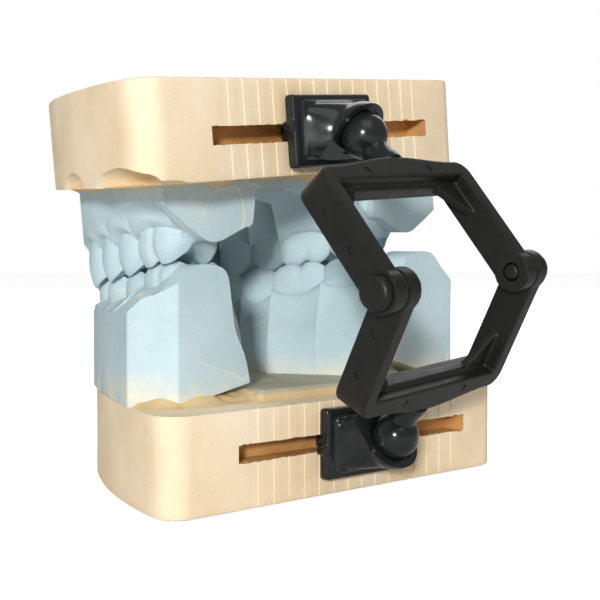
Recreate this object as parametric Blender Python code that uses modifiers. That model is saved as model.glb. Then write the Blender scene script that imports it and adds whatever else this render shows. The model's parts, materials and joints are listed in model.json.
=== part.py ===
"""Plastic ball-and-socket dental articulator carrying a pair of stone casts on moulded bases.

Metres, +Z up.  The hinge side faces -Y and the front teeth face +Y.  The origin is the middle of the
lower base's flat underside.
"""
import math

import bmesh
import bpy
from mathutils import Euler, Matrix, Vector

MM = 0.001
GAP = 0.3 * MM                       # running and seating clearance between touching pieces

# Bases: one mould makes both, and the upper one is turned over
BASE_HALF_WIDTH = 39.9 * MM
BASE_DEPTH = 63.0 * MM
BASE_HEIGHT = 15.6 * MM
BASE_CORNER = 4.0 * MM
REAR_Y = -BASE_DEPTH / 2             # flat rear face of the lower base
GROOVE_COUNT = 15
GROOVE_PITCH = 3.4 * MM
GROOVE_WIDTH = 0.7 * MM
GROOVE_DEPTH = 0.35 * MM
SLOT_LENGTH = 55.2 * MM
SLOT_HEIGHT = 2.8 * MM
SLOT_DEPTH = 4.6 * MM
SLOT_MIDDLE = (1.6 * MM, 8.75 * MM)  # along the rear face, and up from the base's outer face

# Upper base: where its outer rear edge's middle is, and how the closed bite tilts it
UPPER_PLACE = Vector((-4.92 * MM, 2.52 * MM + REAR_Y, 68.88 * MM))
UPPER_TILT = Euler([math.radians(a) for a in (0.03, -5.80, 4.71)])

# Sockets
PLATE_SIZE = (20.0 * MM, 2.0 * MM, 11.8 * MM)
PLATE_CHAMFER = 0.8 * MM
TONGUE_SIZE = (14.0 * MM, 3.6 * MM, 2.1 * MM)
SOCKET_RISE = 1.25 * MM              # ball centre above the plate's middle
CUP_RADIUS = 5.3 * MM
CUP_HOLLOW = 3.8 * MM
LIP_HEIGHT = -1.2 * MM               # lip plane from the ball centre, towards the opening
LIP_ANGLE = math.radians(35.0)
CUP_FOOT_RADIUS = 5.4 * MM
LOWER_PLATE_OFFSET = 0.5 * MM
UPPER_PLATE_OFFSET = -0.7 * MM

# Ball studs
BALL_RADIUS = 3.5 * MM
NECK_RADIUS = 1.5 * MM
FLANGE_RADIUS = 3.0 * MM

# Hinged U frames: the same moulding twice, one turned over
HINGE_AXIS_AT = Vector((-0.14 * MM, -22.54 * MM + REAR_Y, 35.71 * MM))
HINGE_YAW = math.radians(4.6)
HINGE_TILT = math.radians(4.3)
LOWER_ELEVATION = math.radians(61.6)
UPPER_ELEVATION = math.radians(52.8)
REACH = 29.36 * MM                   # hinge axis to ball centre
ARM_HALF_SPAN = 19.1 * MM
ARM_SHIFT = 1.6 * MM                 # arms sit half an arm to one side, so two frames interleave
ARM_THICKNESS = 2.8 * MM
STRIP_WIDTH = 5.9 * MM
BAR_INNER = REACH - 11.1 * MM
BAR_OUTER_END = REACH - 8.3 * MM
BAR_OUTER_MIDDLE = REACH - 6.9 * MM
FRAME_CORNER = 2.6 * MM
KNUCKLE_RADIUS = 3.3 * MM
GUSSET_LEG = 6.4 * MM
GUSSET_THICKNESS = 1.3 * MM
RIB_HEIGHT = 0.8 * MM
RIB_WIDTH = 1.9 * MM
RIB_HALF_LENGTH = 11.5 * MM
PIN_RADIUS = 1.3 * MM
PIN_CAP_RADIUS = 2.7 * MM
PIN_CAP_HEIGHT = 1.5 * MM

# Casts: half-arches described from the arch origin, which lies on the midline near the heels.
# Both casts were mounted with their midline turned a little to the left of the base's.
ARCH_ORIGIN = Vector((2.0 * MM, 6.5 * MM + REAR_Y))
ARCH_YAW = math.radians(14.0)
ARCH_POWER = 1.9
ARCH_OVERRUN = 8.0 * MM              # straight run past the arch's end, trimmed off at the heels
TRIM_OVERRUN = 14.0 * MM             # how far the untrimmed stone reaches out from the teeth
LOWER_ARCH = (26.9 * MM, 48.1 * MM)  # outer surface of the teeth: half width, depth
UPPER_ARCH = (28.7 * MM, 50.5 * MM)
LOWER_TEETH = [5.6, 6.2, 7.2, 7.4, 7.4, 11.6, 10.2]   # widths in mm from the midline back
UPPER_TEETH = [8.6, 7.0, 8.0, 7.2, 7.2, 11.0, 9.6]
# Trimmed outlines in mm, anticlockwise from the left heel: the lower in world axes, the upper in its base's
LOWER_TRIM = [(-30.4, -22.2), (35.5, -22.2), (36.0, -17.0), (31.0, -4.5), (22.0, 10.5), (13.0, 20.5)]
LOWER_TRIM += [(3.0, 27.0), (-7.0, 27.0), (-17.5, 19.5), (-23.7, 9.1), (-35.8, -16.0)]
UPPER_TRIM = [(-29.8, 9.3), (36.0, 5.5), (36.0, 11.0), (31.0, 22.0), (23.5, 37.5), (15.0, 50.0)]
UPPER_TRIM += [(5.7, 57.0), (-3.3, 57.0), (-11.7, 51.5), (-18.9, 42.5), (-28.3, 19.2)]
# Height of the untrimmed shelf outside the teeth, as (depth along the arch, height) in mm
LOWER_SHELF = [(-8.0, 36.5), (8.0, 36.2), (11.0, 34.6), (18.0, 29.0), (30.0, 28.0), (60.0, 26.5)]
UPPER_SHELF = 48.4 * MM
TRIM_HEIGHT = 40.0 * MM
ROUGH_ALLOWANCE = 2.0 * MM           # rough casts start this far inside the base before the trim


def clear_scene():
    for item in list(bpy.data.objects):
        bpy.data.objects.remove(item, do_unlink=True)


def make_collection(name):
    collection = bpy.data.collections.new(name)
    bpy.context.scene.collection.children.link(collection)
    return collection


def make_material(name, colour, roughness, metallic=0.0):
    material = bpy.data.materials.new(name)
    material.use_nodes = True
    shader = material.node_tree.nodes["Principled BSDF"]
    shader.inputs["Base Color"].default_value = (*colour, 1.0)
    shader.inputs["Roughness"].default_value = roughness
    shader.inputs["Metallic"].default_value = metallic
    return material


def add_object(name, mesh, material, parent=None):
    item = bpy.data.objects.new(name, mesh)
    PARTS.objects.link(item)
    if material:
        item.data.materials.append(material)
    item.parent = parent
    return item


def add_empty(name, place, turn=(0.0, 0.0, 0.0), parent=None):
    item = bpy.data.objects.new(name, None)
    PARTS.objects.link(item)
    item.location = place
    item.rotation_euler = turn
    item.parent = parent
    return item


def mesh_from(build, name):
    """Mesh filled by a function that works on a bmesh."""
    work = bmesh.new()
    build(work)
    bmesh.ops.recalc_face_normals(work, faces=work.faces)
    mesh = bpy.data.meshes.new(name)
    work.to_mesh(mesh)
    work.free()
    return mesh


def box_mesh(name, low, high):
    def build(work):
        middle = [(a + b) / 2 for a, b in zip(low, high)]
        size = [b - a for a, b in zip(low, high)]
        place = Matrix.Translation(middle) @ Matrix.Diagonal((*size, 1.0))
        bmesh.ops.create_cube(work, size=1.0, matrix=place)
    return mesh_from(build, name)


def rod_mesh(name, radius, start, end, sides=24, end_radius=None):
    """Round rod or cone between two points."""
    def build(work):
        run = Vector(end) - Vector(start)
        turn = run.to_track_quat("Z", "Y").to_matrix().to_4x4()
        place = Matrix.Translation((Vector(start) + Vector(end)) / 2) @ turn
        last = radius if end_radius is None else end_radius
        bmesh.ops.create_cone(work, cap_ends=True, segments=sides, radius1=radius, radius2=last,
                              depth=run.length, matrix=place)
    return mesh_from(build, name)


def ball_mesh(name, radius, centre, sides=24, rings=14):
    def build(work):
        bmesh.ops.create_uvsphere(work, u_segments=sides, v_segments=rings, radius=radius,
                                  matrix=Matrix.Translation(centre))
    return mesh_from(build, name)


def outline_mesh(name, outline, low, high):
    """Flat outline, extruded between two heights, as a welded mesh."""
    curve = bpy.data.curves.new(name, "CURVE")
    curve.dimensions = "2D"
    curve.fill_mode = "BOTH"
    curve.extrude = (high - low) / 2
    spline = curve.splines.new("POLY")
    spline.points.add(len(outline) - 1)
    for point, (x, y) in zip(spline.points, outline):
        point.co = (x, y, 0.0, 1.0)
    spline.use_cyclic_u = True
    helper = bpy.data.objects.new(name, curve)
    PARTS.objects.link(helper)
    helper.location.z = (high + low) / 2
    bpy.context.view_layer.update()
    mesh = bpy.data.meshes.new_from_object(helper.evaluated_get(bpy.context.evaluated_depsgraph_get()))
    mesh.transform(helper.matrix_world)
    bpy.data.objects.remove(helper, do_unlink=True)
    work = bmesh.new()
    work.from_mesh(mesh)
    bmesh.ops.remove_doubles(work, verts=work.verts, dist=0.00001)
    bmesh.ops.dissolve_limit(work, angle_limit=0.002, verts=work.verts, edges=work.edges)
    bmesh.ops.recalc_face_normals(work, faces=work.faces)
    work.to_mesh(mesh)
    work.free()
    return mesh


def turned_mesh(name, profile):
    """Turned solid about Z from a profile of (radius, height), listed from the top down."""
    mesh = bpy.data.meshes.new(name)
    mesh.from_pydata([(r, 0.0, z) for r, z in profile], [(i, i + 1) for i in range(len(profile) - 1)], [])
    helper = bpy.data.objects.new(name, mesh)
    PARTS.objects.link(helper)
    screw = helper.modifiers.new("turn", "SCREW")
    screw.steps = screw.render_steps = 24
    screw.use_merge_vertices = True
    screw.merge_threshold = 0.00001
    bpy.context.view_layer.update()
    turned = bpy.data.meshes.new_from_object(helper.evaluated_get(bpy.context.evaluated_depsgraph_get()))
    bpy.data.objects.remove(helper, do_unlink=True)
    return turned


def combine(item, operation, meshes, parent=None, solver="EXACT"):
    """Boolean the item with helper solids that share its local frame."""
    for number, mesh in enumerate(meshes):
        helper = bpy.data.objects.new(item.name + "_" + operation.lower() + str(number), mesh)
        CUTTERS.objects.link(helper)
        helper.parent = parent
        helper.matrix_parent_inverse = Matrix.Identity(4)
        helper.location = item.location
        helper.rotation_euler = item.rotation_euler
        helper.hide_render = True
        helper.display_type = "WIRE"
        step = item.modifiers.new(operation.lower() + str(number), "BOOLEAN")
        step.operation = operation
        step.solver = solver
        step.object = helper


def bevel(item, width, segments=1, angle=40.0):
    step = item.modifiers.new("edge_rounding", "BEVEL")
    step.width = width
    step.segments = segments
    step.limit_method = "ANGLE"
    step.angle_limit = math.radians(angle)


# ---------------------------------------------------------------- bases
def base_outline():
    """Half-round front, straight rear with upright grooves."""
    side = []
    for step in range(13):
        along = 0.07 + 0.93 * math.sin(step / 12 * math.pi / 2)
        width = BASE_HALF_WIDTH * (1 - along ** 1.3) ** 0.62
        side.append((width, REAR_Y + BASE_DEPTH * along))
    corner_start = side[0][0] - BASE_CORNER
    corner = []
    for step in range(4):
        angle = math.radians(-90 + 30 * step)
        across = corner_start + BASE_CORNER * math.cos(angle)
        corner.append((across, REAR_Y + BASE_CORNER * (1 + math.sin(angle))))
    grooves = []
    for number in range(GROOVE_COUNT):
        middle = (number - (GROOVE_COUNT - 1) / 2) * GROOVE_PITCH + MM
        for offset, depth in ((-0.5, 0.0), (-0.25, 1.0), (0.25, 1.0), (0.5, 0.0)):
            grooves.append((middle + offset * GROOVE_WIDTH, REAR_Y + depth * GROOVE_DEPTH))
    right = corner + side
    left = [(-x, y) for x, y in reversed(right[:-1])]
    return grooves + right + left


def make_base(name, material, parent=None, turned=False):
    """Base block: origin in its outer face for the lower one, at its outer rear edge for the upper one."""
    outline = base_outline()
    if turned:
        outline = [(x - MM, y - REAR_Y) for x, y in outline]
        low, high = -BASE_HEIGHT, 0.0
    else:
        low, high = 0.0, BASE_HEIGHT
    item = add_object(name, outline_mesh(name, outline, low, high), material, parent)
    rear = 0.0 if turned else REAR_Y
    middle = SLOT_MIDDLE[0] - (MM if turned else 0.0)
    height = -SLOT_MIDDLE[1] if turned else SLOT_MIDDLE[1]
    slot = box_mesh(name + "_slot", (middle - SLOT_LENGTH / 2, rear - 2 * MM, height - SLOT_HEIGHT / 2),
                    (middle + SLOT_LENGTH / 2, rear + SLOT_DEPTH, height + SLOT_HEIGHT / 2))
    combine(item, "DIFFERENCE", [slot], parent, "MANIFOLD")
    return item


# ---------------------------------------------------------------- sockets and balls
def make_socket(name, place, rear, plate_offset, material, parent=None, turned=False):
    """Socket with its origin at the ball centre; a turned one opens downwards."""
    sign = -1.0 if turned else 1.0
    middle = -SOCKET_RISE * sign
    half = [value / 2 for value in PLATE_SIZE]
    plate = box_mesh(name, (plate_offset - half[0], rear - GAP - PLATE_SIZE[1], middle - half[2]),
                     (plate_offset + half[0], rear - GAP, middle + half[2]))
    item = add_object(name, plate, material, parent)
    item.location = place
    bevel(item, PLATE_CHAMFER)
    tongue_low = (plate_offset - TONGUE_SIZE[0] / 2, rear - GAP - MM, middle - TONGUE_SIZE[2] / 2)
    tongue_high = (plate_offset + TONGUE_SIZE[0] / 2, rear + TONGUE_SIZE[1], middle + TONGUE_SIZE[2] / 2)
    tongue = box_mesh(name + "_tongue", tongue_low, tongue_high)
    foot = rod_mesh(name + "_foot", CUP_FOOT_RADIUS, (0.0, rear - GAP - MM, 0.0), (0.0, 0.5 * MM, 0.0), 26,
                    CUP_RADIUS - 0.25 * MM)
    cup = ball_mesh(name + "_cup", CUP_RADIUS, (0.0, 0.0, 0.0), 28, 16)
    combine(item, "UNION", [tongue, foot, cup], parent)
    opening = Vector((0.0, -math.cos(LIP_ANGLE), sign * math.sin(LIP_ANGLE)))
    lip = rod_mesh(name + "_lip", 9 * MM, opening * LIP_HEIGHT, opening * (LIP_HEIGHT + 9 * MM))
    hollow = ball_mesh(name + "_hollow", CUP_HOLLOW, (0.0, 0.0, 0.0), 28, 16)
    combine(item, "DIFFERENCE", [lip, hollow], parent)
    return item


def make_ball(name, place, material, parent=None):
    item = add_object(name, ball_mesh(name, BALL_RADIUS, (0.0, 0.0, 0.0)), material, parent)
    item.location = place
    item.data.shade_smooth()
    return item


# ---------------------------------------------------------------- frames, studs and pins
def frame_outline():
    """U shape: x along the hinge, y from the hinge axis towards the ball."""
    left, right = ARM_SHIFT - ARM_HALF_SPAN, ARM_SHIFT + ARM_HALF_SPAN
    points = [(left, 0.0), (left + ARM_THICKNESS, 0.0), (left + ARM_THICKNESS, BAR_INNER)]
    points += [(right - ARM_THICKNESS, BAR_INNER), (right - ARM_THICKNESS, 0.0), (right, 0.0)]
    for step in range(4):
        angle = math.radians(30 * step)
        across = right - FRAME_CORNER * (1 - math.cos(angle))
        points.append((across, BAR_OUTER_END - FRAME_CORNER * (1 - math.sin(angle))))
    for step in range(1, 8):
        across = step / 8
        bow = math.sin(across * math.pi) ** 2
        x = right - FRAME_CORNER - across * (right - left - 2 * FRAME_CORNER)
        points.append((x, BAR_OUTER_END + bow * (BAR_OUTER_MIDDLE - BAR_OUTER_END)))
    for step in range(4):
        angle = math.radians(90 + 30 * step)
        across = left + FRAME_CORNER * (1 + math.cos(angle))
        points.append((across, BAR_OUTER_END - FRAME_CORNER * (1 - math.sin(angle))))
    return points


def make_frame(name, material, parent):
    half = STRIP_WIDTH / 2
    item = add_object(name, outline_mesh(name, frame_outline(), -half, half), material, parent)
    left, right = ARM_SHIFT - ARM_HALF_SPAN, ARM_SHIFT + ARM_HALF_SPAN
    bar = (left + ARM_THICKNESS, right - ARM_THICKNESS)
    additions = []
    for start in (left, right - ARM_THICKNESS):
        end = start + ARM_THICKNESS
        additions.append(rod_mesh(name + "_knuckle", KNUCKLE_RADIUS, (start, 0.0, 0.0), (end, 0.0, 0.0)))
    middle = (left + right) / 2
    rib_low = (middle - RIB_HALF_LENGTH, BAR_INNER - RIB_HEIGHT, -RIB_WIDTH / 2)
    additions.append(box_mesh(name + "_rib", rib_low,
                              (middle + RIB_HALF_LENGTH, BAR_INNER + MM, RIB_WIDTH / 2)))
    web = GUSSET_THICKNESS / 2
    for corner, way in ((bar[0], 1.0), (bar[1], -1.0)):
        triangle = [(corner - way * MM, BAR_INNER + MM), (corner - way * MM, BAR_INNER - GUSSET_LEG),
                    (corner, BAR_INNER - GUSSET_LEG), (corner + way * GUSSET_LEG, BAR_INNER),
                    (corner + way * GUSSET_LEG, BAR_INNER + MM)]
        additions.append(outline_mesh(name + "_gusset", triangle, -web, web))
    combine(item, "UNION", additions, parent, "MANIFOLD")
    bore = rod_mesh(name + "_bore", PIN_RADIUS + GAP, (left - MM, 0.0, 0.0), (right + MM, 0.0, 0.0))
    combine(item, "DIFFERENCE", [bore], parent, "MANIFOLD")
    return item


def make_stud(name, material, parent):
    """Flared neck between the crossbar and the ball, standing on the frame's +Y side."""
    foot = BAR_OUTER_MIDDLE + GAP
    top = REACH - BALL_RADIUS - 0.1 * MM
    run = top - foot
    profile = [(0.0, top), (NECK_RADIUS, top)]
    for step in range(1, 5):
        across = step / 5
        flare = NECK_RADIUS + (FLANGE_RADIUS - NECK_RADIUS) * (1 - math.cos(across * math.pi / 2))
        profile.append((flare, top - run * 0.8 * across))
    profile += [(FLANGE_RADIUS, foot), (0.0, foot)]
    item = add_object(name, turned_mesh(name, profile), material, parent)
    item.rotation_euler = (math.radians(-90), 0.0, 0.0)
    item.data.shade_smooth()
    return item


def make_pin(name, side, material, parent):
    """Pin through both knuckles of one hinge, with its round cap on the outer side."""
    outer = ARM_SHIFT + ARM_HALF_SPAN
    inner = outer - 2 * ARM_THICKNESS - 2 * ARM_SHIFT + ARM_THICKNESS - GAP
    cap = outer + GAP
    shank = rod_mesh(name, PIN_RADIUS, (side * inner, 0.0, 0.0), (side * (cap + 0.5 * MM), 0.0, 0.0))
    item = add_object(name, shank, material, parent)
    cap_end = side * (cap + PIN_CAP_HEIGHT)
    head = rod_mesh(name + "_cap", PIN_CAP_RADIUS, (side * cap, 0.0, 0.0), (cap_end, 0.0, 0.0))
    combine(item, "UNION", [head], parent)
    return item


# ---------------------------------------------------------------- casts
def arch_samples(arch, count=240):
    """Points along one half-arch from the midline back to the heel, with distance from the midline."""
    samples = []
    walked = 0.0
    for step in range(count + 1):
        angle = math.pi / 2 * (1 - step / count)
        x = -arch[0] * max(math.cos(angle), 0.0) ** (2 / ARCH_POWER)
        y = arch[1] * max(math.sin(angle), 0.0) ** (2 / ARCH_POWER)
        point = Vector((x, y))
        if samples:
            walked += (point - samples[-1][1]).length
        samples.append((walked, point))
    samples.append((walked + ARCH_OVERRUN, point - Vector((0.0, ARCH_OVERRUN))))
    return samples


def arch_place(samples, distance):
    """Point and outward direction at a distance from the midline."""
    for (before, start), (after, end) in zip(samples, samples[1:]):
        if after >= distance or end is samples[-1][1]:
            share = (distance - before) / (after - before)
            run = (end - start).normalized()
            return start.lerp(end, share), Vector((run.y, -run.x))
    return samples[-1][1], Vector((-1.0, 0.0))


def ramp(table, value):
    """Straight-line reading of a short table of (value, result)."""
    if value <= table[0][0]:
        return table[0][1]
    for (x0, y0), (x1, y1) in zip(table, table[1:]):
        if value <= x1:
            return y0 + (y1 - y0) * (value - x0) / (x1 - x0)
    return table[-1][1]


def stations(teeth, length):
    """(distance, tooth number, place across the tooth -1..1, thickness) from the midline back."""
    rows = []
    start = 0.0
    for number, width in enumerate(teeth):
        for across in (-1.0, -0.45, 0.45):
            rows.append((start + width * MM * (across + 1) / 2, number, across))
        start += width * MM
    rows.append((start, len(teeth) - 1, 1.0))
    for share in (0.35, 0.7, 1.0):
        rows.append((start + (length - start) * share, None, share))
    return rows


def tooth_shape(number, across):
    """Thickness, crown lift at this place across the tooth, and how much of a cusp basin it has."""
    if number is None:
        return 8.5 * MM, -2.5 * MM * across - 1.5 * MM, 0.0
    thickness = ramp([(0, 5.6), (2, 7.2), (4, 8.6), (5, 10.2)], number) * MM
    notch = -1.7 * MM if abs(across) == 1.0 else 0.0
    return thickness, notch, ramp([(1, 0.0), (3, 0.6), (5, 1.0)], number)


def lower_section(depth, number, across):
    """Cross-section as (out from the teeth, height), from the floor outside to the floor inside."""
    crown = (38.0 - 0.11 * depth) * MM
    thickness, lift, basin = tooth_shape(number, across)
    gum = crown - 7.0 * MM
    pinch = 0.7 * MM if lift < 0.0 else 0.0
    floor = BASE_HEIGHT - ROUGH_ALLOWANCE
    highest = crown + lift - 1.5 * MM if number is None else crown - 2.5 * MM
    shelf = min(ramp(LOWER_SHELF, depth) * MM, highest)
    margin = max(gum, shelf)
    edge = 1.0 + 0.6 * basin
    rows = [(TRIM_OVERRUN, floor), (TRIM_OVERRUN, shelf), (1.4 * MM, margin - 0.6 * MM), (0.3 * MM, margin)]
    rows += [(-pinch, max(crown - 3.4 * MM, margin + 0.2 * MM)), (-edge * MM - pinch, crown + lift)]
    rows += [(-thickness / 2, crown + lift - 1.0 * MM * basin - 0.2 * MM)]
    inner = -thickness + (0.8 + 3.0 * (1 - basin)) * MM
    rows += [(inner, crown + lift - (0.3 + 1.2 * (1 - basin)) * MM)]
    rows += [(-thickness + pinch, crown - 4.0 * MM), (-thickness - 0.6 * MM, gum)]
    rows += [(-thickness - 3.0 * MM, gum - 7.0 * MM), (-thickness - 4.0 * MM, floor)]
    return rows


def upper_section(depth, number, across):
    """Cross-section as (out from the teeth's outer surface, height), from the roof outside to the palate."""
    crown = (39.0 - 0.145 * depth) * MM
    thickness, lift, basin = tooth_shape(number, across)
    lift = -lift
    gum = crown + 7.4 * MM
    pinch = 0.7 * MM if lift > 0.0 else 0.0
    edge = 0.9 + 0.5 * basin
    rows = [(TRIM_OVERRUN, 0.0), (TRIM_OVERRUN, max(UPPER_SHELF, gum + 2.4 * MM)), (1.2 * MM, gum + 2.0 * MM)]
    rows += [(0.3 * MM, gum), (-pinch, crown + 3.4 * MM), (-edge * MM - pinch, crown + lift)]
    inner = crown + lift + 4.5 * MM * (1 - basin) + 0.3 * MM
    pit = (1.0 * basin + 2.0 * (1 - basin)) * MM
    rows += [(-min(thickness / 2, 2.0 * MM + 3.0 * MM * basin), crown + lift + pit)]
    rows += [(-thickness + (0.8 + 2.6 * (1 - basin)) * MM, inner), (-thickness + pinch, crown + 5.6 * MM)]
    rows += [(-thickness - 0.9 * MM, gum + 0.6 * MM), (-thickness - 5.0 * MM, gum + 6.0 * MM)]
    return rows


def make_cast(name, material, arch, teeth, upper, parent=None):
    """Rough cast lofted along its arch, then trimmed to a prism that stands on its base."""
    samples = arch_samples(arch)
    normal = UPPER_TILT.to_matrix() @ Vector((0.0, 0.0, 1.0))
    rim = UPPER_PLACE - normal * (BASE_HEIGHT - ROUGH_ALLOWANCE)
    turn = Matrix.Rotation(ARCH_YAW, 2)
    section = upper_section if upper else lower_section

    def build(work):
        for side in (-1, 1):
            def place(x, y):
                return turn @ Vector((-side * x, y)) + ARCH_ORIGIN

            def roof_at(x, y):
                spot = place(x, y)
                return rim.z - (normal.x * (spot.x - rim.x) + normal.y * (spot.y - rim.y)) / normal.z
            columns = []
            for distance, number, across in stations(teeth, samples[-1][0]):
                point, outward = arch_place(samples, distance)
                if distance == 0.0:
                    outward = Vector((0.0, 1.0))
                line = []
                for order, (out, height) in enumerate(section(point.y / MM, number, across)):
                    spot = point + outward * out
                    if upper and order == 0:
                        height = roof_at(spot.x, spot.y)
                    line.append(Vector((min(spot.x, 0.0), spot.y, height)))
                if upper:
                    middle_y = line[-1].y
                    vault = max(line[-1].z + 1.5 * MM, 0.0)
                    line.append(Vector((0.0, middle_y, vault)))
                    end_y = line[0].y if distance == 0.0 else middle_y
                    line.append(Vector((0.0, end_y, roof_at(0.0, middle_y))))
                columns.append([work.verts.new((*place(v.x, v.y), v.z)) for v in line])
            count = len(columns[0])
            for first, second in zip(columns, columns[1:]):
                for row in range(count):
                    after = (row + 1) % count
                    if upper and row == count - 2:
                        continue        # lies in the midline plane, inside the finished cast
                    work.faces.new((first[row], first[after], second[after], second[row]))
            work.faces.new(columns[-1])
        bmesh.ops.remove_doubles(work, verts=work.verts, dist=0.00002)
        bmesh.ops.dissolve_degenerate(work, edges=work.edges, dist=0.00001)
        bmesh.ops.triangulate(work, faces=work.faces)
    item = add_object(name, mesh_from(build, name), material)
    trim = [(x * MM, y * MM) for x, y in (UPPER_TRIM if upper else LOWER_TRIM)]
    joint = BASE_HEIGHT + GAP
    low, high = (-TRIM_HEIGHT, -joint) if upper else (joint, TRIM_HEIGHT)
    combine(item, "INTERSECT", [outline_mesh(name + "_trim", trim, low, high)], parent, "MANIFOLD")
    return item


# ---------------------------------------------------------------- assembly
clear_scene()
PARTS = make_collection("dental_articulator")
CUTTERS = make_collection("cutters")

STONE = make_material("yellow_stone", (0.86, 0.66, 0.40), 0.75)
CAST = make_material("blue_stone", (0.46, 0.66, 0.69), 0.8)
MATT = make_material("matt_black_plastic", (0.012, 0.012, 0.012), 0.5)
GLOSS = make_material("gloss_black_plastic", (0.006, 0.007, 0.008), 0.15)

make_base("lower_base", STONE)
make_cast("lower_cast", CAST, LOWER_ARCH, LOWER_TEETH, False)

hinge = add_empty("hinge_axis", HINGE_AXIS_AT, (0.0, -HINGE_TILT, HINGE_YAW))
lower_arm = add_empty("lower_frame_place", (0.0, 0.0, 0.0), (-LOWER_ELEVATION, 0.0, 0.0), hinge)
upper_arm = add_empty("upper_frame_place", (0.0, 0.0, 0.0), (UPPER_ELEVATION, 0.0, 0.0), hinge)
upper_flip = add_empty("upper_frame_flip", (0.0, 0.0, 0.0), (0.0, math.pi, 0.0), upper_arm)
make_frame("lower_frame", MATT, lower_arm)
make_frame("upper_frame", MATT, upper_flip)
make_stud("lower_ball_stud", GLOSS, lower_arm)
make_stud("upper_ball_stud", GLOSS, upper_flip)
make_pin("left_hinge_pin", -1.0, MATT, hinge)
make_pin("right_hinge_pin", 1.0, MATT, hinge)

bpy.context.view_layer.update()
lower_centre = lower_arm.matrix_world @ Vector((0.0, REACH, 0.0))
upper_centre = upper_arm.matrix_world @ Vector((0.0, REACH, 0.0))
make_ball("lower_ball", lower_centre, GLOSS)
make_ball("upper_ball", upper_centre, GLOSS)

upper_pose = add_empty("upper_base_place", UPPER_PLACE, UPPER_TILT)
bpy.context.view_layer.update()
make_base("upper_base", STONE, upper_pose, True)
make_cast("upper_cast", CAST, UPPER_ARCH, UPPER_TEETH, True, upper_pose)
make_socket("lower_socket_plate", lower_centre, REAR_Y - lower_centre.y, LOWER_PLATE_OFFSET, GLOSS)
local_centre = upper_pose.matrix_world.inverted() @ upper_centre
make_socket("upper_socket_plate", local_centre, -local_centre.y, UPPER_PLATE_OFFSET, GLOSS, upper_pose, True)
bpy.context.view_layer.update()
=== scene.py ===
"""Looks of the dental articulator: plastic hinge mechanism with blue stone casts on yellow stone bases."""
import bisect
import json
import math

import bmesh
import bpy
from mathutils import Matrix, Vector, noise


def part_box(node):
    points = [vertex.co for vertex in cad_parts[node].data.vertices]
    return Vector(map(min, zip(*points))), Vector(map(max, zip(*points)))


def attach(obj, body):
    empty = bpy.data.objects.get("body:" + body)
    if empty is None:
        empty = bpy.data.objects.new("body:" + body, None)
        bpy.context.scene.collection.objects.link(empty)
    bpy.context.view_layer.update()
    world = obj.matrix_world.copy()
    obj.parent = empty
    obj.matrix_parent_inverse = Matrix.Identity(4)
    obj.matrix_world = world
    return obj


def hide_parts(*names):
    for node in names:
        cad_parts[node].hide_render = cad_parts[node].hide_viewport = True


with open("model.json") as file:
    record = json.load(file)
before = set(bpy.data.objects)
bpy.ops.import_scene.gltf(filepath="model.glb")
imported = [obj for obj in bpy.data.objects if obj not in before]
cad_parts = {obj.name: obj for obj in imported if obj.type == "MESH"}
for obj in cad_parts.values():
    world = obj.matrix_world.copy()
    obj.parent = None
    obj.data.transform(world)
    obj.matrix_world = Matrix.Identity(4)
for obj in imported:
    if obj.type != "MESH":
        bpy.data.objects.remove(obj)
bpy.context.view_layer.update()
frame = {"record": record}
RECORD = frame["record"]
JOINTS = {joint["name"]: joint for joint in RECORD["behaviour"]["joints"]}
MOUNTS = {mount["name"]: mount for mount in RECORD["mounts"]}

MM = 0.001
LOW, HIGH = [Vector(corner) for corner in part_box("lower_base")]
REAR_Y = LOW.y
BASE_HEIGHT = HIGH.z - LOW.z
BASE_DEPTH = HIGH.y - LOW.y
BASE_HALF_WIDTH = 39.9 * MM
GROOVE_CENTRE = 1.0 * MM
SLOT_MIDDLE = (0.6 * MM, 8.75 * MM)
SLOT_SIZE = (55.2 * MM, 4.4 * MM, 2.8 * MM)

# Upper base: its own axes, along the slot and out of its outer face, where the record's mount lies
FACE_MOUNT = (-1.0 * MM, 30.0 * MM)
UP_X = Vector(JOINTS["upper_socket_slide"]["axis"]).normalized()
UP_Z = Vector(MOUNTS["upper_base_face"]["axis"]).normalized()
UP_Y = UP_Z.cross(UP_X).normalized()
UP_ORIGIN = Vector(MOUNTS["upper_base_face"]["pos_m"]) - UP_X * FACE_MOUNT[0] - UP_Y * FACE_MOUNT[1]
UPPER = Matrix((UP_X, UP_Y, UP_Z)).transposed().to_4x4()
UPPER.translation = UP_ORIGIN
LOWER = Matrix.Translation((GROOVE_CENTRE, REAR_Y, 0.0))

# Mechanism
HINGE = Vector(JOINTS["main_hinge"]["pos_m"])
HINGE_X = Vector(JOINTS["main_hinge"]["axis"]).normalized()
LOWER_BALL = Vector(JOINTS["lower_ball_pitch"]["pos_m"])
UPPER_BALL = Vector(JOINTS["upper_ball_pitch"]["pos_m"])
BALL_RADIUS = 3.95 * MM
REACH = (LOWER_BALL - HINGE).length

# Casts: half-arches described from the arch origin, with the midline turned to the left of the bases'
ARCH_ORIGIN = Vector((2.0 * MM, REAR_Y + 6.5 * MM))
ARCH_YAW = math.radians(14.0)
ARCH_POWER = 1.9
ARCH_OVERRUN = 8.0 * MM              # straight run past the arch's end, trimmed off at the heels
TRIM_OVERRUN = 14.0                  # mm that the untrimmed stone reaches out from the teeth
TRIM_CORNER = 0.7                    # mm radius between two trimmed facets
TRIM_REACH = 45.0 * MM               # height, past both casts' teeth, of the blocks that trim them
SET_IN = 2.0 * MM                    # depth to which the casts are set in their bases
LOWER_ARCH = (26.9 * MM, 48.1 * MM)
UPPER_ARCH = (28.7 * MM, 50.5 * MM)
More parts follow.
